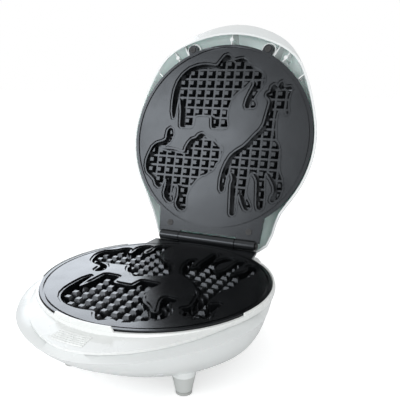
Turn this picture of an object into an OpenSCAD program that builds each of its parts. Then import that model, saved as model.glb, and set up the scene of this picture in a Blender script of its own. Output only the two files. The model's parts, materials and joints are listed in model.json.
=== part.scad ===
// Animal mould waffle maker, standing open.
// Pieces are drawn about the lower plate's centre, with z = 0 on the lower plate's face,
// +X to the right, +Y to the hinge. Lid pieces are drawn shut and then turned open.

/* [Plates] */
// Radius of both round plates
plate_r = 95; // [88:0.5:104]
// Thickness of a plate's flat web
plate_web = 3.2; // [2.6:0.1:4.2]
// Depth of the moulds below the plate's face
mould_depth = 7.5; // [5:0.25:8]
// Metal left under the moulds
mould_floor = 3; // [2:0.25:4.5]
// Height of the pegs above a mould's floor
peg_h = 4.6; // [2:0.2:4.8]
// Spacing of the peg grid
peg_pitch = 10; // [8.5:0.25:12]
// Width of a peg at its foot
peg_base = 8; // [6:0.25:8.5]
// Width of a peg at its top
peg_top = 3.75; // [2.5:0.25:5.5]
// Width of the bare channel inside a mould's edge
border_w = 2; // [1:0.2:3]
// Width of the shallow step round a mould
step_w = 2.3; // [1.4:0.1:3]
// Depth of the shallow step round a mould
step_d = 1.1; // [0.4:0.1:1.4]
// Width of the fine groove along the outer edge of that step
line_w = 0.8; // [0.5:0.1:1.1]
// Gap between the two plates when the lid is shut
plate_gap = 1.3; // [0.9:0.1:2.4]

/* [Hinge] */
// Distance of the hinge pin behind the plate's edge
hinge_back = 9.8; // [9:0.2:13]
// Height of the hinge pin above the lower plate's face
hinge_z = 1.95; // [1:0.05:3]
// Outer radius of the hinge barrel
barrel_r = 5.5; // [4.4:0.1:5.8]
// Half the length of the hinge barrel
barrel_half = 51; // [46:0.5:54]
// Half the length of the middle knuckle
knuckle_half = 30.2; // [24:0.2:34]
// Radius of the hinge pin
pin_r = 2; // [1.5:0.1:2.4]
// Radial running clearance of the hinge pin
pin_clear = 0.05; // [0.02:0.01:0.09]
// Angle of the lid from shut to its open stop, in degrees
lid_open = 106.8; // [95:0.2:107]

/* [Base] */
// Depth of the bowl below the lower plate's face
bowl_depth = 46.6; // [43:0.2:52]
// Reach of the bowl's front lip beyond the plate's edge
lip_reach = 30.5; // [26:0.5:34]
// Reach of the front shelf beyond the rim
shelf_reach = 23.9; // [20:0.5:25]
// Wall thickness of the two housings
wall = 2.4; // [1.8:0.1:3]
// Height of the feet below the bowl
foot_h = 13; // [10:0.5:22]
// Radius of a foot where it meets the bowl
foot_top_r = 9; // [6:0.25:10]
// Radius of a foot at its lower end
foot_low_r = 6.2; // [5:0.2:7]
// Thickness of a rubber foot pad
pad_h = 2.4; // [1.5:0.1:4]
// Half the spacing of the front feet
foot_x = 50; // [46:0.5:55]
// Half the spacing of the rear feet
foot_rear_x = 40; // [34:0.5:43]
// Distance of the front feet before the plate's centre
foot_front = 54; // [50:0.5:60]
// Distance of the rear feet behind the plate's centre
foot_rear = 84; // [76:0.5:86]

/* [Lid] */
// Height of the lid above the lower plate's face, when shut
lid_h = 38; // [36:0.5:46]
// Flare of the lid's front lip beyond its rim
flare_reach = 13; // [9:0.5:16]
// Radius of an indicator lens
lens_r = 3; // [2.4:0.1:4]

/* [Heating] */
// Radius of the heating tube's ring
ring_r = 66; // [62:0.5:72]
// Radius of the heating tube
tube_r = 3.3; // [2.6:0.1:3.8]
// Radius of the circle of plate bosses
boss_ring = 48; // [44:0.5:54]
// Radius of the heat shields
shield_r = 82; // [78:0.5:85]
// Thickness of the heat shields
shield_t = 0.6; // [0.4:0.1:1]
// Distance from the back of the moulds to a heat shield
shield_gap = 12; // [10:0.5:14]
// Radius of the cord gland's bore
gland_r = 3.4; // [2.8:0.1:3.8]

/* [Hidden] */
$fn = 48;

// Clearance between pieces that are fixed to one another
seat = 0.05;
// Running gap between pieces that move past one another
gap = 0.4;
// Extra length of a cutting shape
over = 1;
// Shank radius of the plate, foot and base screws
screw_r = 1.9;
// Head radius and height of the visible screws
head_r = 3.1;
head_h = 1.8;

hinge_y = plate_r + hinge_back;
mould_back = mould_depth + mould_floor;
line_z = (step_d + plate_web) / 2;
shield_z = mould_back + shield_gap;
rim_r = plate_r + 0.6;
rim_w = 2;
rim_out = rim_r + rim_w;
rim_top = -1.4;
stand_h = bowl_depth + foot_h + pad_h;
lid_rim_z = plate_gap + 0.3;
tube_z = mould_back + tube_r - 1;
ear_a = 24.4;
ear_r = rim_out + 1.1;
flange_x = barrel_half - 8.2;
flange_y = hinge_y - 13.3;
flange_half = barrel_half + 3;
// Drop of the lower flange below the plate's face, which leaves the plate's round edge standing
flange_drop = 1;

// Even angles round the housings, measured from the front
cols = 72;
angles = [for (i = [0:cols - 1]) i * 360 / cols];

// Angle folded to 0 at the front and 180 at the hinge
function fold(a) = abs(a) > 180 ? 360 - abs(a) : abs(a);
// Smooth step from 0 at lo to 1 at hi
function ease(lo, hi, t) = let (u = min(1, max(0, (t - lo) / (hi - lo)))) u * u * (3 - 2 * u);
// Table value at t, softened over a few degrees
function soft(table, t) = (lookup(abs(t - 5), table) + 2 * lookup(t, table) + lookup(t + 5, table)) / 4;
// Point at angle a from the front, radius r, height z
function polar(a, r, z) = [r * sin(a), -r * cos(a), z];
// Radius of the square hinge block with half width w that ends at y = b
function block(a, w, b) = cos(a) >= 0 ? 0 : pow(pow(abs(sin(a)) / w, 8) + pow(-cos(a) / b, 8), -1 / 8);
// Larger of two radii, blended where they meet
function merge(r, q) = pow(pow(r, 12) + pow(q, 12), 1 / 12);

// Plan of the base's front lip, from 1 at the front to 0 at the side
lip_plan = [[0, 1], [15, 0.91], [26, 0.8], [34, 0.7], [44, 0.55], [52, 0.46], [60, 0.4], [70, 0.33],
    [78, 0.23], [84, 0.13], [90, 0.05], [97, 0]];
// Plan of the shelf behind the front lip
shelf_plan = [[0, 1], [7, 0.94], [14, 0.82], [22, 0.65], [31, 0.45], [38, 0.31], [45, 0.18], [56, 0]];
// Plan of the lid's rim, which has two soft corners
lid_plan = [[0, 0.83], [20, 0.84], [30, 0.93], [38, 1], [43, 0.94], [50, 0.6], [58, 0.3], [67, 0.08],
    [75, 0]];
// Plan of the lid's flared lip
flare_plan = [[0, 1], [11, 0.88], [20, 0.76], [30, 0.52], [38, 0.12], [44, 0]];
lid_bulge = 11.4;

block_w = barrel_half + 10;
block_b = hinge_y + 9;
lid_block_w = barrel_half + 14;
lid_block_b = hinge_y + 7;

// How far the rims are dropped beside the hinge
function hinge_dip(a) = ease(137, 143, a);

// Bowl levels: share of the depth, radius beyond the plate's edge, share of the lip that is left,
// narrowing of the hinge block across and along, least radius beyond the heat shield
bowl_levels = [[0.31, -1.4, 0.88, 1, 1.5, 4], [0.44, -2.6, 0.7, 2, 4, 4], [0.57, -4.4, 0.5, 3, 7, 0],
    [0.7, -6.7, 0.28, 4, 10, -12], [0.83, -9.8, 0.1, 5, 12.5, -20], [0.93, -14.5, 0, 6.5, 15, -30],
    [0.985, -21, 0, 9, 18, -40], [1, -28, 0, 12, 22, -50]];

function bowl_edge(a) = let (f = fold(a), d = hinge_dip(f), s = soft(shelf_plan, f))
    polar(a, merge(rim_out - 0.6 + shelf_reach * s, block(a, block_w, block_b)),
        -5 - seat - 6.6 * d - 2 * s);
function bowl_widest(a) = let (f = fold(a), d = hinge_dip(f))
    polar(a, merge(plate_r + 1 + (lip_reach - 1) * soft(lip_plan, f), block(a, block_w + 0.4, block_b + 0.4)),
        -7.8 - 6 * d - 3 * ease(36, 0, f));
function bowl_ring(a, v) = let (f = fold(a))
    polar(a, merge(max(plate_r + v[1], shield_r + v[5]) + (lip_reach - v[1]) * v[2] * soft(lip_plan, f),
        block(a, block_w - v[3], block_b - v[4])), -bowl_depth * v[0]);

// The same column moved inwards by w, and up by h
function inset(p, w, h) = let (r = norm([p[0], p[1]])) [p[0] * (r - w) / r, p[1] * (r - w) / r, p[2] + h];

bowl_outer = concat([[for (a = angles) bowl_edge(a)], [for (a = angles) bowl_widest(a)]],
    [for (v = bowl_levels) [for (a = angles) bowl_ring(a, v)]]);
// Lift of each inner ring, so that the wall stays even where it turns under
bowl_lift = [0, 0.3, 0.5, 0.8, 1.1, 1.4, 1.8, 2.2, wall, wall];
bowl_inner = [for (i = [0:len(bowl_outer) - 1])
    [for (p = bowl_outer[i]) inset(p, wall - (i < 2 ? 0 : 0.16 * (i - 1)), bowl_lift[i])]];

// Lid levels: share of the height, rise at the flare, radius beyond the plate's edge,
// share of the lip that is left, narrowing of the hinge block across and along, and
// least radius beyond the heat shield
lid_levels = [[0.26, 8, 1.5, 0.98, 0.5, 0, 5], [0.44, 6, -1.5, 0.83, 3, 2, 4.4],
    [0.6, 4, -6.5, 0.66, 7, 7, 2], [0.735, 2.4, -14, 0.47, 12, 15, -2], [0.84, 1, -25, 0.29, 19, 27, -20],
    [0.925, 0, -40, 0.14, 29, 47, -40], [0.98, 0, -59, 0, 42, 70, -60], [1, 0, -78, 0, 55, 92, -80]];

function lid_rim_r(f) = plate_r + 1.2 + lid_bulge * soft(lid_plan, f);
function flare_r(f) = lid_rim_r(f) + rim_w + flare_reach * soft(flare_plan, f);
function lid_edge(a) = let (f = fold(a))
    polar(a, merge(lid_rim_r(f) + rim_w, block(a, lid_block_w, lid_block_b)), lid_rim_z + 8 * hinge_dip(f));
function lid_flare(a) = let (f = fold(a))
    polar(a, merge(flare_r(f), block(a, lid_block_w + 0.3, lid_block_b + 0.3)),
        lid_rim_z + 2 + 7.4 * hinge_dip(f) + 10.4 * soft(flare_plan, f));
function lid_ring(a, v) = let (f = fold(a))
    polar(a, merge(max(plate_r + v[2], shield_r + v[6]) + (flare_r(f) - plate_r - 3.2) * v[3],
        block(a, lid_block_w - v[4], lid_block_b - v[5])),
        lid_h * v[0] + v[1] * soft(flare_plan, f) + 3 * hinge_dip(f) * (1 - v[0]));

lid_outer = concat([[for (a = angles) lid_edge(a)], [for (a = angles) lid_flare(a)]],
    [for (v = lid_levels) [for (a = angles) lid_ring(a, v)]]);
lid_lift = [0, -0.4, -0.6, -1, -1.5, -1.9, -2.2, -wall, -wall, -wall];
lid_inner = [for (i = [0:len(lid_outer) - 1])
    [for (p = lid_outer[i]) inset(p, i == 0 ? rim_w : wall - 0.14 * (i - 1), lid_lift[i])]];

function flipped(ring) = [for (i = [cols - 1:-1:0]) ring[i]];

// Where a shut lid point lies once the lid is open
function opened(p) = let (y = p[1] - hinge_y, z = p[2] - hinge_z)
    [p[0], hinge_y + y * cos(lid_open) + z * sin(lid_open), hinge_z - y * sin(lid_open) + z * cos(lid_open)];
lid_back = max([for (ring = lid_outer) for (p = ring) opened(p)[1]]);
lip_front = min([for (ring = bowl_outer) for (p = ring) p[1]]);
mid_y = (lid_back + lip_front) / 2;

// Mould outlines for a plate of this radius, seen from above
drawn_r = 95;
elephant = [[-55, -17.6], [-52.9, -19.2], [-52.4, -27], [-51.6, -35.5], [-50.2, -39.2], [-48.6, -34],
    [-46.9, -25], [-46.2, -14], [-45.6, -9.6], [-43.5, -8.4], [-34, -8.6], [-31.4, -9.8], [-30.7, -12.5],
    [-30.4, -18.5], [-28.8, -21.3], [-25, -22], [-15, -22], [-12, -21.3], [-11.2, -18.5], [-10.4, -12],
    [-9.8, -9.9], [-8, -9], [3, -9.2], [6, -10.2], [7.2, -12.6], [5.6, -18.5], [5.2, -27], [7.4, -37],
    [12.4, -45.6], [18.5, -49.8], [22.4, -53.8], [26, -58], [29.4, -58.4], [30, -54.5], [26.8, -47],
    [23.9, -39.5], [22.9, -33.2], [24.6, -30.4], [28.5, -31], [32.6, -31.4], [34.6, -33.6], [33.6, -37],
    [31.6, -40.5], [34, -46], [38.2, -52], [40.6, -58.4], [39.6, -64.6], [36, -69], [30.5, -72.4],
    [25.6, -74.8], [21.4, -78.6], [15.8, -81.2], [10, -80.4], [6, -79.2], [2.6, -82.4], [-1, -85],
    [-4.6, -84], [-8.4, -79], [-11.4, -74.4], [-15, -73.8], [-24, -75], [-33, -74], [-42, -70.8],
    [-49.6, -64.6], [-54.8, -56.6], [-57.4, -47], [-58, -36], [-57.4, -25]];
lion = [[-56.4, -7.2], [-53.4, -5.6], [-52, 0.4], [-53.6, 5.6], [-57, 10], [-62, 12.8], [-65.6, 14.4],
    [-61, 15.2], [-52, 15], [-45, 16.2], [-39.4, 17.6], [-36.8, 16.4], [-36.4, 12.6], [-34, 7.6],
    [-30.6, 3.4], [-26, 1.8], [-23.4, -1.6], [-19.6, -3.2], [-15.4, -1], [-10, 0.8], [-6, 2.8],
    [-3.4, 6.2], [1.6, 8.4], [4.4, 11], [4.8, 14.6], [2.9, 19.6], [2.4, 23.6], [-0.7, 26.8], [-2.1, 31.6],
    [-4.4, 34.4], [-7.8, 36], [-10.4, 38.8], [-14.4, 39.8], [-19, 43.6], [-22.8, 48.6], [-26.2, 54.4],
    [-28.7, 60.8], [-28.8, 69], [-28, 74.4], [-29.6, 77.2], [-32.6, 78], [-36, 76.6], [-39.2, 73.2],
    [-39.8, 69.4], [-38.6, 64], [-38.8, 57], [-39.8, 52.8], [-42, 52], [-44.2, 55], [-45.4, 61],
    [-43.8, 66], [-43.8, 69.4], [-46.2, 70.6], [-50, 69.6], [-54, 65.4], [-55.2, 61], [-54.2, 55],
    [-54, 48.8], [-55, 46.8], [-56.6, 48], [-58, 52], [-59.6, 55.6], [-62.6, 56.2], [-66.2, 53.6],
    [-68.6, 48.6], [-73, 44.8], [-78, 41.4], [-80.6, 35], [-80.6, 28.6], [-78.6, 21.6], [-75.4, 14],
    [-70.6, 9.6], [-64, 7.4], [-60.4, 5], [-60, 0], [-59.4, -4.6]];
giraffe = [[8.8, 55], [6.4, 52], [6, 42], [7.4, 33.6], [10.2, 25], [14.4, 17.2], [20, 12.2], [26, 8.2],
    [31, 3], [36.6, -4], [41.8, -9.6], [44.8, -15.6], [46, -23], [47.6, -31.6], [48.4, -37.4],
    [46.6, -41], [43.8, -43.6], [44.6, -46.4], [47.4, -47.8], [48.2, -52.6], [50.8, -55], [53.6, -53.4],
    [55.2, -52.4], [56.2, -55.6], [58.4, -57.8], [60.6, -55.6], [61.4, -52.4], [64, -52.8], [67.6, -53.2],
    [69.4, -50.8], [67.8, -46.4], [66.8, -40], [67, -33.6], [68.6, -29.4], [67.4, -26], [65, -25.2],
    [62, -27.6], [59, -29.2], [57, -26.6], [56.6, -17], [57.4, -9], [58.6, -1], [61.8, 4], [63.6, 9],
    [64.4, 17], [64.2, 24.6], [66.2, 31.4], [69.6, 38], [70.8, 47], [69.2, 54.2], [66, 58.8],
    [62.4, 60.4], [60, 58.8], [60.4, 55.6], [62.6, 51], [61.8, 45], [58.8, 39.6], [55.4, 35],
    [53, 32], [51.6, 34.6], [52.2, 43], [53.6, 54], [54.4, 63], [53.6, 67.2], [50.8, 68.8], [48, 68],
    [46.6, 64], [45.4, 51], [44.6, 42.6], [42.6, 37.6], [39.6, 34], [37, 33.4], [35.6, 37], [34.6, 45],
    [34, 53], [36.6, 59], [40, 64], [41.6, 68], [40.6, 70.2], [37.4, 70.8], [34.4, 69.2], [31.6, 64.4],
    [29.2, 58.6], [27.6, 55.4], [26.2, 58.4], [26.4, 68], [26.2, 75], [24.4, 77.2], [21.6, 77.2],
    [20, 75], [19.4, 66], [18.4, 54], [18, 46.6], [19, 42], [18, 37.4], [15.8, 34.6], [13.6, 36],
    [12.2, 41], [11.6, 48], [11.2, 53]];
// Each mould: outline and a point that the peg grid passes through
moulds = [[elephant, [1, -36]], [lion, [-35, 27]], [giraffe, [47.5, 13.4]]];

// Closed curve through the points, with n steps from each to the next
function curve(pts, n) = let (c = len(pts)) [for (i = [0:c - 1]) for (k = [0:n - 1])
    let (a = pts[(i + c - 1) % c], b = pts[i], d = pts[(i + 1) % c], e = pts[(i + 2) % c], t = k / n)
    (2 * b + (d - a) * t + (2 * a - 5 * b + 4 * d - e) * t * t + (3 * b - a - 3 * d + e) * t * t * t) / 2];
function fitted(pts) = pts * plate_r / drawn_r;

module lift_to_stand() translate([0, -mid_y, stand_h]) children();

module open_lid()
    lift_to_stand() translate([0, hinge_y, hinge_z]) rotate([-lid_open, 0, 0])
        translate([0, -hinge_y, -hinge_z]) children();

// Wall between two stacks of rings, joined at the first pair and capped at the last pair
module housing(outer, inner) {
    n = len(outer[0]);
    m = len(outer);
    pts = concat([for (r = outer) each r], [for (r = inner) each r]);
    off = n * m;
    sides = [for (i = [0:m - 2]) for (j = [0:n - 1]) let (k = (j + 1) % n)
        each [[i * n + j, i * n + k, (i + 1) * n + k], [i * n + j, (i + 1) * n + k, (i + 1) * n + j],
            [off + i * n + k, off + i * n + j, off + (i + 1) * n + k],
            [off + (i + 1) * n + k, off + i * n + j, off + (i + 1) * n + j]]];
    lip = [for (j = [0:n - 1]) let (k = (j + 1) % n) each [[j, off + j, k], [k, off + j, off + k]]];
    caps = [[for (j = [0:n - 1]) (m - 1) * n + j], [for (j = [n - 1:-1:0]) off + (m - 1) * n + j]];
    polyhedron(concat(pts), concat(sides, lip, caps), convexity = 6);
}

// Closed ring with the same number of corners all round
module hoop(rings) {
    n = len(rings[0]);
    m = len(rings);
    polyhedron([for (r = rings) each r], [for (i = [0:m - 1]) for (j = [0:n - 1])
        let (k = (j + 1) % n, h = (i + 1) % m)
        each [[i * n + j, i * n + k, h * n + k], [i * n + j, h * n + k, h * n + j]]], convexity = 6);
}

// Cross-head screw with its head on z = 0, pointing down
module screw(r, length, hr, hh) {
    difference() {
        union() {
            cylinder(r = hr, h = hh);
            translate([0, 0, -length]) cylinder(r = r, h = length + 0.01);
        }
        for (a = [0, 90]) rotate(a) translate([-hr * 0.6, -hr * 0.12, hh * 0.45])
            cube([hr * 1.2, hr * 0.24, hh]);
    }
}

// Places on the circle of plate bosses
module at_bosses() for (a = [45, 135, 225, 315]) rotate(a) translate([boss_ring, 0, 0]) children();

module at_feet() for (s = [-1, 1]) for (p = [[foot_x, -foot_front], [foot_rear_x, foot_rear]])
    translate([s * p[0], p[1], 0]) children();

// Rows of ridges along y, repeated along x, about the line x = start
module ridges(start, floor_z) {
    n = ceil(plate_r * 2 / peg_pitch);
    tops = [for (i = [-n:n]) let (c = start + i * peg_pitch)
        each [[c - peg_base / 2, floor_z], [c - peg_top / 2, floor_z + peg_h],
            [c + peg_top / 2, floor_z + peg_h], [c + peg_base / 2, floor_z]]];
    far = (n + 1) * peg_pitch;
    rotate([90, 0, 0]) translate([0, 0, -plate_r]) linear_extrude(2 * plate_r)
        polygon(concat([[start - far, floor_z - over]], tops, [[start + far, floor_z - over]]));
}

// One plate with its face on z = 0 and its body below
module mould_plate() {
    difference() {
        union() {
            translate([0, 0, -plate_web]) cylinder(r = plate_r, h = plate_web, $fn = 180);
            for (m = moulds) translate([0, 0, -mould_back]) linear_extrude(mould_back - plate_web / 2)
                offset(r = step_w, $fn = 8) polygon(fitted(m[0]));
            rotate_extrude($fn = 120) translate([ring_r - 6, -mould_back])
                square([12, mould_back - plate_web / 2]);
            at_bosses() translate([0, 0, -shield_z + seat]) cylinder(r = 4.6, h = shield_z - plate_web);
        }
        for (m = moulds) {
            translate([0, 0, -mould_depth]) linear_extrude(mould_depth + over)
                polygon(curve(fitted(m[0]), 2));
            difference() {
                translate([0, 0, -line_z]) linear_extrude(line_z + over)
                    offset(r = step_w, $fn = 8) polygon(fitted(m[0]));
                translate([0, 0, -line_z - over]) linear_extrude(line_z - step_d + over)
                    offset(r = step_w - line_w, $fn = 8) polygon(fitted(m[0]));
            }
        }
        rotate_extrude($fn = 180) translate([plate_r - 3.9, -1.3]) square([1.4, 1.3 + over]);
        rotate_extrude($fn = 120) translate([ring_r, -tube_z]) circle(r = tube_r + seat);
        at_bosses() translate([0, 0, -shield_z - over]) cylinder(r = screw_r + seat, h = shield_gap + over);
        clip_spots() translate([0, 0, -mould_back - over]) cylinder(r = 1.5 + seat, h = 3 + over);
    }
    for (m = moulds) mould_pegs(m);
}

module mould_pegs(m) {
    intersection() {
        ridges(m[1][0] * plate_r / drawn_r, -mould_depth);
        rotate(90) ridges(m[1][1] * plate_r / drawn_r, -mould_depth);
        translate([0, 0, -mould_depth - over / 2]) linear_extrude(peg_h + over)
            offset(delta = -border_w) polygon(fitted(m[0]));
    }
}

// Spots of the screws that hold the heater clips, two to a clip
clip_angles = [0, 120, 240];
clip_reach = tube_r + 4.2;
module clip_spots() for (a = clip_angles) rotate(a - 90) for (s = [-1, 1])
    translate([ring_r + s * clip_reach, 0, 0]) children();

// Flange from a plate to the hinge, cut square at its end
side = 2 * barrel_half;
module hinge_flange(y_end, t) {
    linear_extrude(t) polygon([[-flange_half - 3, plate_r * 0.74], [flange_half + 3, plate_r * 0.74],
        [flange_half, y_end], [-flange_half, y_end]]);
}

// Pieces of the barrel between x = from and x = to
module knuckle(from, to)
    translate([from, hinge_y, hinge_z]) rotate([0, 90, 0]) cylinder(r = barrel_r, h = to - from);

module pin_bore()
    translate([-barrel_half - over, hinge_y, hinge_z]) rotate([0, 90, 0])
        cylinder(r = pin_r + pin_clear, h = 2 * (barrel_half + over));

module barrel_room(from, to)
    translate([from, hinge_y, hinge_z]) rotate([0, 90, 0]) cylinder(r = barrel_r + gap, h = to - from);

module lower_plate() lift_to_stand() color("#202226") difference() {
    union() {
        mould_plate();
        difference() {
            translate([0, 0, -plate_web]) hinge_flange(hinge_y - 1, plate_web - flange_drop);
            translate([0, 0, -plate_web - over]) cylinder(r = plate_r - 1.2, h = plate_web + 2 * over);
            for (x = [knuckle_half, -knuckle_half - side])
                translate([x, hinge_y - barrel_r - 2 * gap, -side / 2]) cube(side);
        }
        knuckle(-knuckle_half + gap, knuckle_half - gap);
    }
    pin_bore();
}

module upper_plate() open_lid() color("#3a3e44") difference() {
    union() {
        translate([0, 0, plate_gap]) mirror([0, 0, 1]) mould_plate();
        difference() {
            translate([0, 0, plate_gap]) hinge_flange(hinge_y, plate_web);
            translate([0, 0, -over]) cylinder(r = plate_r - 1.2, h = plate_web + 3 * over);
            barrel_room(-knuckle_half - gap / 2, knuckle_half + gap / 2);
            translate([-knuckle_half - gap / 2, hinge_y - barrel_r - 3 * gap, -side / 2])
                cube([2 * knuckle_half + gap, side, side]);
        }
        for (s = [-1, 1]) {
            knuckle(s > 0 ? knuckle_half + gap : -barrel_half,
                s > 0 ? barrel_half : -knuckle_half - gap);
            rotate(s * ear_a) translate([0, -ear_r, plate_gap]) ear();
        }
    }
    pin_bore();
    for (s = [-1, 1]) translate([s * (barrel_half + 5), hinge_y, hinge_z]) rotate([0, 90, 0])
        cylinder(r = pin_r + 2, h = 10, center = true);
    for (s = [-1, 1]) {
        rotate(s * ear_a) translate([0, -ear_r, -over]) cylinder(r = screw_r + seat, h = 20);
        translate([s * flange_x, flange_y, -over]) cylinder(r = screw_r + seat, h = 20);
    }
}

module ear() {
    cylinder(r = 5, h = plate_web);
    translate([-5, 0, 0]) cube([10, ear_r - plate_r + 3, plate_web]);
}

module base_bowl() lift_to_stand() color("#dfe3e2") difference() {
    union() {
        housing(bowl_outer, bowl_inner);
        at_bosses() translate([0, 0, -bowl_depth + wall / 2])
            cylinder(r = 5.6, h = bowl_depth - wall / 2 - shield_z - shield_t - seat);
        at_feet() translate([0, 0, -bowl_depth]) cylinder(r1 = foot_top_r, r2 = foot_top_r + 1, h = 12);
        gland_pad();
    }
    at_bosses() {
        translate([0, 0, -bowl_depth - over]) cylinder(r = screw_r + 0.25, h = bowl_depth);
        translate([0, 0, -bowl_depth - over]) cylinder(r = head_r + 0.6, h = 4 + over);
    }
    at_feet() translate([0, 0, -bowl_depth - over]) cylinder(r = screw_r + seat, h = 11 + over);
    translate([0, gland_y, gland_z]) rotate([90, 0, 0])
        cylinder(r = gland_r + 2.5 + seat, h = 60, center = true);
}

// Flat face of the rear pad that the cord gland sits in, and the pad's length
gland_z = -bowl_depth * 0.62;
gland_y = hinge_y + 7.7;
pad_len = 14;
module gland_pad()
    translate([0, gland_y, gland_z]) rotate([90, 0, 0]) cylinder(r = gland_r + 6.2, h = pad_len);

module cord_gland() lift_to_stand() color("#2b2b2b") translate([0, gland_y, gland_z]) rotate([90, 0, 0])
    difference() {
        union() {
            translate([0, 0, -2.5]) cylinder(r = gland_r + 4.4, h = 2.5 - seat);
            translate([0, 0, -2.5]) cylinder(r = gland_r + 2.5, h = 2.5 + pad_len + 3);
            translate([0, 0, pad_len + seat]) cylinder(r = gland_r + 3.6, h = 3 - seat);
        }
        translate([0, 0, -5]) cylinder(r = gland_r, h = pad_len + 12);
    }

// Section of the bezel at angle a, as eight points
function bezel_section(a) = let (f = fold(a), d = hinge_dip(f), s = soft(shelf_plan, f),
    r1 = merge(rim_out + 0.3 + shelf_reach * s, block(a, block_w, block_b)), z1 = -2.6 - 2.4 * s - 8.4 * d)
    [polar(a, rim_r, -5 - 1.6 * s - 6.6 * d), polar(a, rim_r, rim_top - 3 * d),
        polar(a, rim_out, rim_top - 3 * d), polar(a, rim_out + 0.1 + 0.8 * s, -1.9 - 2.1 * s - 6.8 * d),
        polar(a, r1, z1), polar(a, r1 - 0.4, -5 - 2 * s - 6.6 * d),
        polar(a, r1 - 1.1 - 1.2 * s, -5 - 2 * s - 6.6 * d),
        polar(a, rim_r + 0.5 + 2 * s, -5 - 1.7 * s - 6.6 * d)];
bezel_cols = [for (a = angles) bezel_section(a)];

module base_bezel() lift_to_stand() color("#eef1f0") {
    hoop([for (i = [0:7]) [for (c = bezel_cols) c[i]]]);
    front_wall(-21.3, 32.1, 2.3);
    for (a = [68, -134]) raised_rim(a, 66, 0.6);
    thumb_ribs();
}

// Raised stretch of the rim from angle a over sweep w, up to height h
module raised_rim(a, w, h)
    rotate(a - 90) rotate_extrude(angle = w, $fn = 180)
        polygon([[rim_r + 0.25, rim_top - 0.8], [rim_out - 0.25, rim_top - 0.8], [rim_out - 0.4, h],
            [rim_r + 0.25, h]]);
// The same with ends that lean inwards
end_lean = 31;
module front_wall(a, w, h) difference() {
    raised_rim(a, w, h);
    for (s = [0, 1]) rotate(a + s * w) mirror([1 - s, 0, 0]) translate([0, -rim_out - 1, rim_top - 0.1])
        rotate([0, -end_lean, 0]) translate([0, 0, -3]) cube([12, rim_w + 2, 12]);
}

rib_count = 6;
module thumb_ribs()
    for (i = [0:rib_count - 1]) rotate(-90 - 11) rotate_extrude(angle = 14.5, $fn = 120)
        translate([rim_out + 6.5 + i * 2.2, -4.3 - i * 0.1]) circle(r = 0.8, $fn = 16);

module feet() lift_to_stand() color("#d4d8d7") at_feet() difference() {
    translate([0, 0, -bowl_depth - foot_h]) cylinder(r1 = foot_low_r, r2 = foot_top_r, h = foot_h - seat);
    translate([0, 0, -bowl_depth - foot_h - over]) cylinder(r = head_r + 0.4, h = 6 + over);
    translate([0, 0, -bowl_depth - foot_h]) cylinder(r = screw_r + 0.2, h = foot_h + over);
}

module foot_screws() lift_to_stand() color("#9aa0a3") at_feet()
    translate([0, 0, -bowl_depth - foot_h + 6 - seat]) mirror([0, 0, 1])
        screw(screw_r, foot_h + 2, head_r, head_h);

module foot_pads() lift_to_stand() color("#3b3b3b") at_feet() union() {
    translate([0, 0, -bowl_depth - foot_h - pad_h]) cylinder(r = foot_low_r, h = pad_h - seat);
    translate([0, 0, -bowl_depth - foot_h - 1])
        cylinder(r = head_r + 0.3, h = 1 + 6 - head_h - 2 * seat - 0.1);
}

module base_screws() lift_to_stand() color("#9aa0a3") at_bosses()
    translate([0, 0, -bowl_depth + 3 - seat]) mirror([0, 0, 1])
        screw(screw_r, bowl_depth - 3 - mould_back - 2, head_r, head_h);

// Ring of heating tube with a collar and a terminal pin at each end
end_a = 22;
module heater() {
    rotate(90 + end_a) rotate_extrude(angle = 360 - 2 * end_a, $fn = 120)
        translate([ring_r, -tube_z]) circle(r = tube_r);
    for (s = [-1, 1]) rotate(90 + s * end_a) translate([ring_r, 0, -tube_z]) rotate([s * 90, 0, 0]) {
        translate([0, 0, -0.2]) cylinder(r = tube_r * 0.75, h = 4.2);
        translate([0, 0, 3]) cylinder(r = 1.3, h = 8);
    }
}

// Strap over the tube with a tab each side
module heater_clips() {
    strap = 1.2;
    for (a = clip_angles) rotate(a - 90) translate([ring_r, 0, 0]) difference() {
        union() {
            translate([0, 4, -tube_z]) rotate([90, 0, 0]) cylinder(r = tube_r + seat + strap, h = 8);
            translate([-clip_reach - 3, -4, -mould_back - strap - seat]) cube([2 * clip_reach + 6, 8, strap]);
        }
        translate([0, 5, -tube_z]) rotate([90, 0, 0]) cylinder(r = tube_r + 0.35, h = 10);
        translate([-20, -5, -mould_back - seat]) cube([40, 10, 20]);
        for (s = [-1, 1]) translate([s * clip_reach, 0, -mould_back - 5]) cylinder(r = 1.5 + 0.2, h = 6);
    }
}

module clip_screws() clip_spots() translate([0, 0, -mould_back - 1.2 - 2 * seat]) mirror([0, 0, 1])
    screw(1.5, 3.6, 2.6, 1.6);

// Pressed steel dish under the heater, clamped at the bosses
module heat_shield(holes) {
    difference() {
        translate([0, 0, -shield_z]) rotate_extrude($fn = 120)
            polygon([[0, 0], [shield_r - 6, 0], [shield_r - 2, 5], [shield_r, 5], [shield_r, 5 - shield_t],
                [shield_r - 1.6, 5 - shield_t], [shield_r - 5.6, -shield_t], [0, -shield_t]]);
        at_bosses() translate([0, 0, -shield_z - over - shield_t]) cylinder(r = screw_r + 0.3, h = 3);
        cylinder(r = holes, h = 4 * shield_z, center = true);
    }
}

module lower_heater() lift_to_stand() color("#6d6a66") heater();
module lower_heater_clips() lift_to_stand() color("#b9bcbc") heater_clips();
module lower_clip_screws() lift_to_stand() color("#9aa0a3") clip_screws();
module lower_heat_shield() lift_to_stand() color("#c4c7c8") heat_shield(13);

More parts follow.
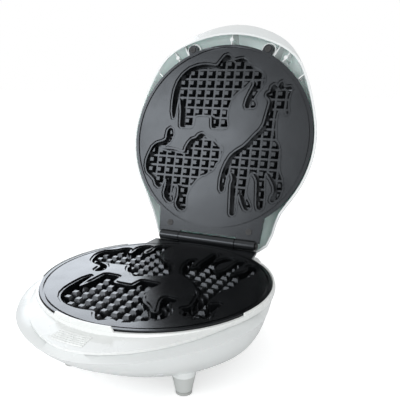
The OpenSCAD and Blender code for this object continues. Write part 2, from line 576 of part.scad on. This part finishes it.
module upper() open_lid() translate([0, 0, plate_gap]) mirror([0, 0, 1]) children();
module upper_heater() upper() color("#6d6a66") heater();
module upper_heater_clips() upper() color("#b9bcbc") heater_clips();
module upper_clip_screws() upper() color("#9aa0a3") clip_screws();
module upper_heat_shield() upper() color("#c4c7c8") heat_shield(2);
module shield_screws() upper() color("#9aa0a3") at_bosses()
    translate([0, 0, -shield_z - shield_t - seat]) mirror([0, 0, 1]) screw(screw_r, 9, head_r, head_h);

// Disc thermostat pressed to the back of the lower plate
module thermostat() lift_to_stand() color("#e9e4d6") {
    translate([0, 0, -mould_back - 1.5 - seat]) difference() {
        union() {
            cylinder(r = 8, h = 1.5);
            translate([-14, -4, 0]) cube([28, 8, 1.5]);
        }
        for (s = [-1, 1]) translate([s * 11, 0, -over]) cylinder(r = 1.7, h = 4);
    }
    translate([0, 0, -mould_back - 9.5]) cylinder(r = 7.4, h = 8 + 0.01);
    for (s = [-1, 1]) translate([s * 4.5 - 0.4, -3, -mould_back - 17]) cube([0.8, 6, 8]);
}

module thermostat_screws() lift_to_stand() color("#9aa0a3") for (s = [-1, 1])
    translate([s * 11, 0, -mould_back - 1.5 - 2 * seat]) mirror([0, 0, 1]) screw(1.5, 1.45, 2.6, 1.6);

// Three-way terminal block on the floor of the bowl
module terminal_block() lift_to_stand() color("#ece9df") difference() {
    translate([-15, 66, -bowl_depth + wall + seat]) cube([30, 16, 11]);
    for (i = [-1:1]) {
        translate([i * 9.5, 60, -bowl_depth + wall + 5]) rotate([-90, 0, 0]) cylinder(r = 2, h = 30);
        translate([i * 9.5, 74, -bowl_depth + wall + 5]) cylinder(r = 1.7, h = 12);
    }
}

module hinge_pin() lift_to_stand() color("#b7babd") {
    translate([-barrel_half - 1.4, hinge_y, hinge_z]) rotate([0, 90, 0])
        cylinder(r = pin_r, h = 2 * barrel_half + 3.6);
    translate([-barrel_half - 1.8, hinge_y, hinge_z]) rotate([0, 90, 0]) cylinder(r = pin_r + 1.2, h = 1.5);
}

module pin_clip() lift_to_stand() color("#8c9092")
    translate([barrel_half + 0.4, hinge_y, hinge_z]) rotate([0, 90, 0]) difference() {
        cylinder(r = pin_r + 1.4, h = 1.2);
        translate([0, 0, -over]) cylinder(r = pin_r + seat, h = 4);
    }

// Inner posts and ribs of the lid, which all reach the dome above them
rib_t = 1.2;
rib_z = lid_rim_z + 3;
post_z = plate_gap + plate_web + seat;
function lid_column(a) = [for (p = concat([lid_edge(a), lid_flare(a)], [for (v = lid_levels) lid_ring(a, v)]))
    [norm([p[0], p[1]]), p[2]]];
// Height of the dome's outside at angle a and radius r, and its radius at height z
function dome_z(a, r) =
    lookup(-r, [for (i = [1:len(lid_levels) + 1]) let (q = lid_column(a)[i]) [-q[0], q[1]]]);
function dome_r(a, z) = lookup(z, [for (q = lid_column(a)) [q[1], q[0]]]);

module lid_post(x, y, r, z) let (a = atan2(x, -y), top = dome_z(a, norm([x, y]) + r) - 0.5)
    translate([x, y, z]) cylinder(r = r, h = top - z);
module lid_post_at(a, reach, r, z) let (p = polar(a, reach, 0)) lid_post(p[0], p[1], r, z);
module trim_rib(a) rotate(a - 90) translate([0, rib_t / 2, 0]) rotate([90, 0, 0]) linear_extrude(rib_t)
    polygon(concat([[plate_r + 1, rib_z], [dome_r(a, rib_z) - 0.7, rib_z]],
        [for (q = lid_column(a)) if (q[1] > rib_z + 0.5 && q[0] > plate_r + 2.5) [q[0] - 0.7, q[1] - 0.3]],
        [[plate_r + 1, dome_z(a, plate_r + 1) - 0.8]]));

module lid_posts() {
    for (s = [-1, 1]) {
        lid_post_at(s * ear_a, ear_r, 4.6, post_z);
        lid_post(s * flange_x, flange_y, 4.1, post_z);
        ear_pocket(s * ear_a);
    }
    for (a = [-35.5, 0, 35.5]) lid_post_at(a, plate_r + 6.2, 2, rib_z - 0.6);
    for (a = [-50, -35.5, -28.9, 0, 28.9, 35.5, 50]) trim_rib(a);
}
// Thin curved wall round an ear, open towards the plate
pocket_r = 7.4;
module ear_pocket(a) rotate(a) translate([0, -ear_r, rib_z]) difference() {
    cylinder(r = pocket_r, h = dome_z(a, ear_r + pocket_r) - 0.5 - rib_z);
    translate([0, 0, -over]) cylinder(r = pocket_r - rib_t, h = lid_h);
    translate([-pocket_r * 2, ear_r - plate_r - 1, -over]) cube([pocket_r * 4, pocket_r * 2, lid_h]);
}

lens_y = -plate_r * 0.5;
lens_x = 9;
// Flat seat of a lens inside the lid
lens_z = lid_h * 0.845;
module lid_shell() open_lid() color("#dfe3e2") difference() {
    union() {
        housing([for (r = lid_outer) flipped(r)], [for (r = lid_inner) flipped(r)]);
        lid_posts();
        for (s = [-1, 1]) translate([s * lens_x, lens_y, lens_z])
            cylinder(r = lens_r + 2.2, h = lid_h * 0.92 - lens_z);
    }
    for (s = [-1, 1]) {
        rotate(s * ear_a) translate([0, -ear_r, 0]) cylinder(r = screw_r + seat, h = 14);
        translate([s * flange_x, flange_y, 0]) cylinder(r = screw_r + seat, h = 14);
        translate([s * lens_x, lens_y, lid_h / 2]) cylinder(r = lens_r + seat, h = lid_h);
    }
}

module ear_screws() open_lid() color("#54585c") for (s = [-1, 1])
    rotate(s * ear_a) translate([0, -ear_r, plate_gap - seat]) mirror([0, 0, 1])
        screw(screw_r, 10, head_r, head_h * 0.4);
module flange_screws() open_lid() color("#54585c") for (s = [-1, 1])
    translate([s * flange_x, flange_y, plate_gap - seat]) mirror([0, 0, 1])
        screw(screw_r, 10, head_r, head_h * 0.4);

module lens(x, tint) open_lid() color(tint) translate([x, lens_y, 0]) {
    translate([0, 0, lens_z - 2]) cylinder(r = lens_r, h = lid_h * 0.99 - lens_z + 2);
    translate([0, 0, lens_z - 2 - seat]) cylinder(r = lens_r + 1.4, h = 2);
}
module power_lens() lens(-lens_x, "#b3261e");
module ready_lens() lens(lens_x, "#2f8f46");

// Thermal fuse in its sleeve, held to the back of the upper plate by a clip
fuse_r = 2.2;
module thermal_fuse() upper() color("#d9d2bf") translate([0, -6, -mould_back - fuse_r - seat])
    rotate([0, 90, 0]) {
        cylinder(r = fuse_r, h = 22, center = true);
        cylinder(r = 0.6, h = 40, center = true);
    }
module fuse_clip() upper() color("#b9bcbc") translate([0, -6, -mould_back - fuse_r - seat]) difference() {
    union() {
        rotate([0, 90, 0]) cylinder(r = fuse_r + 1, h = 6, center = true);
        translate([-3, 0, fuse_r - 1]) cube([6, 9, 1]);
    }
    rotate([0, 90, 0]) cylinder(r = fuse_r + seat, h = 10, center = true);
    translate([-5, -8, fuse_r]) cube([10, 30, 6]);
}

base_bowl();
base_bezel();
feet();
foot_pads();
foot_screws();
base_screws();
lower_plate();
lower_heater();
lower_heater_clips();
lower_clip_screws();
lower_heat_shield();
thermostat();
thermostat_screws();
terminal_block();
cord_gland();
hinge_pin();
pin_clip();
lid_shell();
upper_plate();
ear_screws();
flange_screws();
upper_heater();
upper_heater_clips();
upper_clip_screws();
upper_heat_shield();
shield_screws();
thermal_fuse();
fuse_clip();
power_lens();
ready_lens();
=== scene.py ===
# %% [markdown]
# A waffle maker with animal moulds, standing open.
# The CAD model holds every real shape and size, in metres, and it is loaded first as a fixed frame.
# Blender then gives each piece the soft edges, smooth curves and finish that the real one has.
# Nothing here changes a size.

import json
import math

import bpy
from mathutils import Matrix, Quaternion, Vector


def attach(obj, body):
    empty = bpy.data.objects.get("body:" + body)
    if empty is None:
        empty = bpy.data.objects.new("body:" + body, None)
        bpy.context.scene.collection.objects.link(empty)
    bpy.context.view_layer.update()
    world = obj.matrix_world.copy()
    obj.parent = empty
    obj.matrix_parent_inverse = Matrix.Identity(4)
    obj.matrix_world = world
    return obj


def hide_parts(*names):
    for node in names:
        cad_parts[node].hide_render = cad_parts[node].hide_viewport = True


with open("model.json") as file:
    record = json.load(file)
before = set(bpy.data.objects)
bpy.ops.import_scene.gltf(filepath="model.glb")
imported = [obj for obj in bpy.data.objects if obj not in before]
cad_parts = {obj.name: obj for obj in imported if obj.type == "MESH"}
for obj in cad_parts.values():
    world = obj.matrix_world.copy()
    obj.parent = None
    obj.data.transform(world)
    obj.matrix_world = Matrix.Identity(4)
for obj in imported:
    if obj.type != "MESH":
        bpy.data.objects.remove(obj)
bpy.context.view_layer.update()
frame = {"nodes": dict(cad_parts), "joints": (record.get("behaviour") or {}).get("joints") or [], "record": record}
body_of_node = {n: body for body, nodes in frame["record"]["behaviour"]["bodies"].items() for n in nodes}
slot_of_node = {s["node"]: s["material_slot"] for s in frame["record"]["subparts"]}

MM = 0.001

# %% [markdown]
# The camera comes first, because every comparison with the photograph depends on it.
# The two round plates and the hinge give its direction: 24 degrees round from the front and 14 degrees up.
# A long lens from 53 cm away gives the same strong perspective as the picture, whose near lip looks large.

# %% Camera
VIEW_AZIMUTH = math.radians(23.94)
VIEW_ELEVATION = math.radians(13.64)
VIEW_ROLL = math.radians(-0.12)
FOCAL_PIXELS = 544.92
FRAME_PIXELS = 400
SENSOR = 36.0
CAMERA_PLACE = Vector((0.2058, -0.4081, 0.2325))

camera_data = bpy.data.cameras.new("camera")
camera_data.sensor_width = SENSOR
camera_data.lens = FOCAL_PIXELS / FRAME_PIXELS * SENSOR
camera_data.clip_start = 0.01
camera = bpy.data.objects.new("camera", camera_data)
bpy.context.scene.collection.objects.link(camera)
forward = Vector((
    -math.sin(VIEW_AZIMUTH) * math.cos(VIEW_ELEVATION),
    math.cos(VIEW_AZIMUTH) * math.cos(VIEW_ELEVATION),
    -math.sin(VIEW_ELEVATION),
))
camera.rotation_mode = "QUATERNION"
camera.rotation_quaternion = Quaternion(forward, VIEW_ROLL) @ forward.to_track_quat("-Z", "Y")
camera.location = CAMERA_PLACE
bpy.context.scene.camera = camera
bpy.context.scene.view_settings.view_transform = "Standard"
print("lens", round(camera_data.lens, 2), "mm")

# %% [markdown]
# A photograph of a white product on white needs a bright surround with one soft lamp to give it shape.
# The world lights all sides evenly. Light Path lets it look white to the camera and in reflections,
# and a little darker as a source of light, so that the white casing keeps its shading.

# %% World
AMBIENT = 0.66
BACKDROP = (1.0, 1.0, 1.0, 1.0)

world = bpy.data.worlds.new("studio")
bpy.context.scene.world = world
world.use_nodes = True
sky = world.node_tree.nodes
sky_links = world.node_tree.links
background = sky["Background"]
background.inputs["Color"].default_value = BACKDROP
rays = sky.new("ShaderNodeLightPath")
seen = sky.new("ShaderNodeMath")
seen.operation = "MAXIMUM"
sky_links.new(rays.outputs["Is Camera Ray"], seen.inputs[0])
sky_links.new(rays.outputs["Is Glossy Ray"], seen.inputs[1])
seen_too = sky.new("ShaderNodeMath")
seen_too.operation = "MAXIMUM"
sky_links.new(seen.outputs[0], seen_too.inputs[0])
sky_links.new(rays.outputs["Is Transmission Ray"], seen_too.inputs[1])
level = sky.new("ShaderNodeMapRange")
level.inputs["To Min"].default_value = AMBIENT
level.inputs["To Max"].default_value = 1.0
sky_links.new(seen_too.outputs[0], level.inputs["Value"])
sky_links.new(level.outputs["Result"], background.inputs["Strength"])

# %% [markdown]
# The main lamp stands to the left in front. Its reflection is what makes the left of the open plate
# paler than the right. A low panel in front shines up under the lid's rim, which would be dark without it.
# A third panel behind on the left gives the lower plate its bright left edge.

# %% Lamps


def panel_lamp(name, place, target, size, watts, tint=(1.0, 1.0, 1.0)):
    """A square soft lamp at place that faces target."""
    data = bpy.data.lights.new(name, "AREA")
    data.shape = "SQUARE"
    data.size = size
    data.energy = watts
    data.color = tint
    lamp = bpy.data.objects.new(name, data)
    lamp.location = place
    lamp.rotation_mode = "QUATERNION"
    lamp.rotation_quaternion = (Vector(target) - Vector(place)).to_track_quat("-Z", "Y")
    bpy.context.scene.collection.objects.link(lamp)
    return lamp


PLATES_MIDDLE = (0.0, 0.05, 0.14)
LID_MIDDLE = (0.0, 0.1, 0.2)
BASE_LEFT = (-0.05, -0.05, 0.06)

panel_lamp("key_panel", (-0.75, -1.2, 0.75), PLATES_MIDDLE, 0.56, 5.9, (0.96, 0.985, 1.0))
panel_lamp("low_panel", (0.45, -1.25, 0.3), LID_MIDDLE, 0.5, 4.7)
panel_lamp("edge_panel", (-0.95, 1.0, 0.62), BASE_LEFT, 0.6, 4.4, (0.86, 0.92, 1.0))

# %% [markdown]
# The floor is a plain pale sheet. It adds a little light of its own, for the camera alone, which takes
# it to white as in the photograph while the shadow under the bowl stays.

# %% Floor
FLOOR_HALF = 4.0
FLOOR_LIFT = 0.46
FLOOR_COLOUR = (0.9, 0.9, 0.9, 1.0)

bpy.ops.mesh.primitive_plane_add(size=2 * FLOOR_HALF, location=(0, 0, 0))
floor = bpy.context.object
floor.name = "floor"
floor_paint = bpy.data.materials.new("pale_floor")
floor_paint.use_nodes = True
tree = floor_paint.node_tree
tree.nodes.clear()
matt = tree.nodes.new("ShaderNodeBsdfDiffuse")
matt.inputs["Color"].default_value = FLOOR_COLOUR
glow = tree.nodes.new("ShaderNodeEmission")
floor_rays = tree.nodes.new("ShaderNodeLightPath")
lift = tree.nodes.new("ShaderNodeMath")
lift.operation = "MULTIPLY"
lift.inputs[1].default_value = FLOOR_LIFT
tree.links.new(floor_rays.outputs["Is Camera Ray"], lift.inputs[0])
tree.links.new(lift.outputs[0], glow.inputs["Strength"])
both = tree.nodes.new("ShaderNodeAddShader")
tree.links.new(matt.outputs[0], both.inputs[0])
tree.links.new(glow.outputs[0], both.inputs[1])
floor_out = tree.nodes.new("ShaderNodeOutputMaterial")
tree.links.new(both.outputs[0], floor_out.inputs["Surface"])
floor.data.materials.append(floor_paint)

# %% [markdown]
# Every finish starts from the same three layers, each a noise on Object coordinates, so that it stays
# on the piece: a slight drift of the colour, a drift of the gloss, and a fine grain in the surface.
# Scales are per metre: a grain of 1200 has bumps a little under a millimetre across.

# %% A finish from layers


def join(material, source, target):
    material.node_tree.links.new(source, target)


def noise_on(material, scale, detail=2.0, stretch=(1.0, 1.0, 1.0)):
    """A noise on Object coordinates with that many bumps to a metre. Returns its factor."""
    nodes = material.node_tree.nodes
    place = nodes.new("ShaderNodeTexCoord")
    mapping = nodes.new("ShaderNodeMapping")
    mapping.inputs["Scale"].default_value = stretch
    noise = nodes.new("ShaderNodeTexNoise")
    noise.inputs["Scale"].default_value = scale
    noise.inputs["Detail"].default_value = detail
    join(material, place.outputs["Object"], mapping.inputs["Vector"])
    join(material, mapping.outputs["Vector"], noise.inputs["Vector"])
    return noise.outputs["Fac"]


def spread(material, factor, low, high):
    """Stretches a noise factor, which stays near a half, to run from low to high."""
    span = material.node_tree.nodes.new("ShaderNodeMapRange")
    span.inputs["From Min"].default_value = 0.3
    span.inputs["From Max"].default_value = 0.7
    span.inputs["To Min"].default_value = low
    span.inputs["To Max"].default_value = high
    join(material, factor, span.inputs["Value"])
    return span.outputs["Result"]


def finish(name, colour, other, roughness, gloss_drift=0.04, metal=0.0, ior=1.5, drift=14.0,
           grain=900.0, grain_depth=0.004, stretch=(1.0, 1.0, 1.0)):
    """A finish that drifts from colour to other, with a grain whose depth is in millimetres."""
    material = bpy.data.materials.new(name)
    material.use_nodes = True
    nodes = material.node_tree.nodes
    shader = nodes["Principled BSDF"]
    shader.inputs["Metallic"].default_value = metal
    shader.inputs["IOR"].default_value = ior
    mix = nodes.new("ShaderNodeMix")
    mix.data_type = "RGBA"
    mix.inputs["A"].default_value = (*colour, 1)
    mix.inputs["B"].default_value = (*other, 1)
    join(material, spread(material, noise_on(material, drift), 0, 1), mix.inputs["Factor"])
    join(material, mix.outputs["Result"], shader.inputs["Base Color"])
    patches = noise_on(material, drift * 2.3, 3.0)
    gloss = spread(material, patches, roughness - gloss_drift, roughness + gloss_drift)
    join(material, gloss, shader.inputs["Roughness"])
    bump = nodes.new("ShaderNodeBump")
    bump.inputs["Strength"].default_value = 1.0
    bump.inputs["Distance"].default_value = grain_depth * MM
    join(material, noise_on(material, grain, 3.0, stretch), bump.inputs["Height"])
    join(material, bump.outputs["Normal"], shader.inputs["Normal"])
    return material


# %% [markdown]
# The casing is glossy injection-moulded plastic. It is a cool white, with the slight waviness that a
# moulded skin shows in its reflections. The inside of the lid is left dull by the tool. Its colour is painted
# light and
# shade: it is lighter than the outer white to lift the shade in the trough, and its faint green cast is painted
# shade on the same white plastic. Its wall is thin, so some light comes through it, which a little subsurface
# scattering stands for.

# %% Casing finishes
white_plastic = finish("white_plastic", (0.78, 0.80, 0.80), (0.74, 0.77, 0.77), 0.24, 0.05, grain=420.0,
                       grain_depth=0.006)
bezel_plastic = finish("bezel_plastic", (0.84, 0.86, 0.85), (0.80, 0.82, 0.81), 0.27, 0.05, grain=480.0,
                       grain_depth=0.006)
# Painted light and shade: the inner colour is lighter than the outer white to lift the trough's shade, and its
# green cast stands for shade.
inner_painted_tint = finish("inner_painted_tint", (0.82, 0.92, 0.90), (0.79, 0.89, 0.87), 0.42, 0.05, grain=700.0,
                       grain_depth=0.01)
LIGHT_REACH = 3.0
inner_shader = inner_painted_tint.node_tree.nodes["Principled BSDF"]
inner_shader.inputs["Subsurface Weight"].default_value = 0.6
inner_shader.inputs["Subsurface Radius"].default_value = (1.0, 1.15, 1.1)
inner_shader.inputs["Subsurface Scale"].default_value = LIGHT_REACH * MM
foot_plastic = finish("foot_plastic", (0.56, 0.58, 0.57), (0.52, 0.54, 0.53), 0.36, 0.05, grain=600.0,
                      grain_depth=0.008)

# %% [markdown]
# The plates are cast aluminium under a dark non-stick coat. The coat is dull enough to blur what it
# reflects, and its gloss is slightly blue. It has two grains: the orange peel of the sprayed coat, and the
# slow waves of the casting under it.

# %% Plate finish
plate_coat = finish("plate_coat", (0.003, 0.0035, 0.004), (0.005, 0.0055, 0.006), 0.23, 0.03, ior=1.48,
                    drift=22.0, grain=1500.0, grain_depth=0.012)
coat_nodes = plate_coat.node_tree.nodes
coat_shader = coat_nodes["Principled BSDF"]
coat_shader.inputs["Specular Tint"].default_value = (0.88, 0.93, 1.0, 1.0)
fine_bump = next(n for n in coat_nodes if n.type == "BUMP")
wave_bump = coat_nodes.new("ShaderNodeBump")
wave_bump.inputs["Distance"].default_value = 0.05 * MM
join(plate_coat, noise_on(plate_coat, 55.0, 1.0), wave_bump.inputs["Height"])
join(plate_coat, wave_bump.outputs["Normal"], fine_bump.inputs["Normal"])

# %% [markdown]
# Small metal parts are steel in a few states: bright, blued by heat, or thin bright sheet. The screws and
# the pin that show have a black finish, which hides the metal, so that one is made like the plates' coat.
# A noise stretched along one axis gives the fine lines of drawn or turned metal.

# %% Metal and small finishes
bright_steel = finish("bright_steel", (0.62, 0.63, 0.64), (0.55, 0.56, 0.57), 0.3, 0.07, metal=1.0,
                      drift=60.0, grain=2200.0, grain_depth=0.004, stretch=(0.05, 1.0, 1.0))
dark_steel = finish("dark_steel", (0.008, 0.008, 0.009), (0.014, 0.014, 0.015), 0.42, 0.06, drift=160.0,
                    grain=2600.0, grain_depth=0.006)
screw_steel = finish("screw_steel", (0.50, 0.51, 0.53), (0.60, 0.61, 0.62), 0.34, 0.08, metal=1.0,
                     drift=200.0, grain=2400.0, grain_depth=0.005)
heated_steel = finish("heated_steel", (0.30, 0.25, 0.20), (0.22, 0.24, 0.30), 0.4, 0.08, metal=0.9,
                      drift=35.0, grain=1800.0, grain_depth=0.008)
sheet_steel = finish("sheet_steel", (0.66, 0.67, 0.68), (0.58, 0.59, 0.60), 0.42, 0.08, metal=1.0, drift=25.0,
                     grain=900.0, grain_depth=0.01, stretch=(1.0, 0.08, 1.0))
cream_ceramic = finish("cream_ceramic", (0.74, 0.69, 0.57), (0.68, 0.63, 0.52), 0.5, 0.06, drift=80.0,
                       grain=1500.0, grain_depth=0.015)
black_plastic = finish("black_plastic", (0.022, 0.022, 0.023), (0.032, 0.032, 0.033), 0.5, 0.06, drift=70.0,
                       grain=1300.0, grain_depth=0.02)
grey_rubber = finish("grey_rubber", (0.42, 0.43, 0.42), (0.37, 0.38, 0.37), 0.75, 0.08, drift=120.0,
                     grain=1700.0, grain_depth=0.03)
red_lens = finish("red_lens", (0.55, 0.02, 0.015), (0.42, 0.012, 0.01), 0.12, 0.03, drift=150.0, grain=700.0,
                  grain_depth=0.003)
green_lens = finish("green_lens", (0.03, 0.34, 0.08), (0.02, 0.26, 0.06), 0.12, 0.03, drift=150.0,
                    grain=700.0, grain_depth=0.003)
for lens_finish in (red_lens, green_lens):
    lens_finish.node_tree.nodes["Principled BSDF"].inputs["Coat Weight"].default_value = 0.6
print("finishes", len(bpy.data.materials))

finish_of_slot = {
    "housing": white_plastic, "trim": bezel_plastic, "cast_plate": plate_coat, "rubber_pad": grey_rubber,
    "steel_screw": screw_steel, "dark_screw": dark_steel, "heater_tube": heated_steel,
    "spring_steel": bright_steel, "shield_sheet": sheet_steel, "ceramic_body": cream_ceramic,
    "gland_black": black_plastic, "lens_red": red_lens, "lens_green": green_lens,
}
for node, part in frame["nodes"].items():
    part.data.materials.clear()
    part.data.materials.append(finish_of_slot[slot_of_node[node]])

# %% [markdown]
# The CAD solids are exact but they arrive as loose flat triangles, with edges as sharp as a knife.
# A piece that shows is therefore finished from a copy: its doubled corners are merged, flat triangles are
# joined into whole faces, real edges are rounded with a bevel, and what is left is shaded smooth.

# %% Finishing a copy of a piece
MERGE_DISTANCE = 0.004
FLAT_ANGLE = math.radians(0.6)
FACE_WEIGHT = 90


def select_only(thing):
    bpy.ops.object.select_all(action="DESELECT")
    thing.select_set(True)
    bpy.context.view_layer.objects.active = thing


def finished_copy(node, name, edge, edge_angle=35.0, steps=2, smooth_angle=40.0, flat_faces=True):
    """A copy of a CAD node with rounded edges, edge millimetres wide, that takes the node's place.

    flat_faces lets the large faces decide the shading, so that a round edge doesn't shade what it borders.
    """
    source = frame["nodes"][node]
    piece = source.copy()
    piece.data = source.data.copy()
    piece.name = name
    piece.parent = None
    bpy.context.scene.collection.objects.link(piece)
    select_only(piece)
    if piece.data.has_custom_normals:
        bpy.ops.mesh.customdata_custom_splitnormals_clear()
    bpy.ops.object.mode_set(mode="EDIT")
    bpy.ops.mesh.select_all(action="SELECT")
    bpy.ops.mesh.remove_doubles(threshold=MERGE_DISTANCE * MM)
    bpy.ops.mesh.dissolve_limited(angle_limit=FLAT_ANGLE)
    bpy.ops.object.mode_set(mode="OBJECT")
    if edge > 0:
        bevel = piece.modifiers.new("edge", "BEVEL")
        bevel.width = edge * MM
        bevel.segments = steps
        bevel.limit_method = "ANGLE"
        bevel.angle_limit = math.radians(edge_angle)
        bpy.ops.object.modifier_apply(modifier="edge")
    bpy.ops.object.shade_smooth_by_angle(angle=math.radians(smooth_angle))
    if flat_faces:
        even = piece.modifiers.new("even", "WEIGHTED_NORMAL")
        even.mode = "FACE_AREA"
        even.weight = FACE_WEIGHT
        even.keep_sharp = True
        bpy.ops.object.modifier_apply(modifier="even")
    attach(piece, body_of_node[node])
    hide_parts(node)
    print(name, "faces", len(piece.data.polygons))
    return piece


# %% [markdown]
# The bowl and the bezel are one white body to the eye, split by the dark crease under the front shelf.
# Their edges are the half-millimetre rounds of a moulding.

# %% Base mouldings
finished_copy("base_bowl", "bowl_moulding", 0.35)
finished_copy("base_bezel", "bezel_moulding", 0.3)
feet = finished_copy("feet", "foot_mouldings", 0.5)
feet.data.materials[0] = foot_plastic
finished_copy("foot_pads", "pad_rubbers", 0.4)

# %% [markdown]
# The lid's shell is open towards the plate, so its inside shows as a trough round the plate, grey-green in shade.
# Faces that look towards the plate's middle get the duller inner finish, whose lighter, green-tinted colour is
# painted light and shade. They are easiest to find with the lid turned shut in thought, where the flat faces at
# the rim point straight down and keep the outer finish.

# %% Lid moulding
lid = finished_copy("lid_shell", "lid_moulding", 0.35)
lid.data.materials.append(inner_painted_tint)

HINGE_TO_PLATE = 104.8 * MM
FACE_HEIGHT = 1.0 * MM
RIM_HEIGHT = 12 * MM
STRAIGHT_DOWN = -0.9

hinge = frame["joints"][0]
lid_turn = math.radians(hinge["range_deg"][1])
hinge_place = Vector(hinge["pos_m"])
plate_middle = Vector((0.0, hinge_place.y - HINGE_TO_PLATE, hinge_place.z + FACE_HEIGHT))
to_shut = Matrix.Rotation(lid_turn, 3, "X")
inside = 0
for face in lid.data.polygons:
    place = hinge_place + to_shut @ (face.center - hinge_place)
    facing = to_shut @ face.normal
    at_rim = facing.z < STRAIGHT_DOWN and place.z < plate_middle.z + RIM_HEIGHT
    if facing.dot(place - plate_middle) < 0 and not at_rim:
        # Painted light and shade: these faces take the lighter, green-tinted inner colour.
        face.material_index = 1
        inside += 1
print("inner faces", inside, "of", len(lid.data.polygons))

# %% [markdown]
# The plates carry most of the detail. Each cut edge of a mould and each peg is rounded by a third of a
# millimetre, which catches the light as a thin pale line beside the dark groove round each figure.

# %% Plate castings
finished_copy("lower_plate", "lower_casting", 0.3)
finished_copy("upper_plate", "upper_casting", 0.3)

# %% [markdown]
# Screws and lenses are small, but they are what the eye checks for scale. The rounded rim of a screw's
# head reflects a darker side of the room than its flat does, so it reads as a ring.

# %% Screws and lenses
finished_copy("ear_screws", "ear_screw_set", 0.3)
finished_copy("flange_screws", "flange_screw_set", 0.3)
finished_copy("power_lens", "power_lens_dome", 0.7, steps=3)
finished_copy("ready_lens", "ready_lens_dome", 0.7, steps=3)
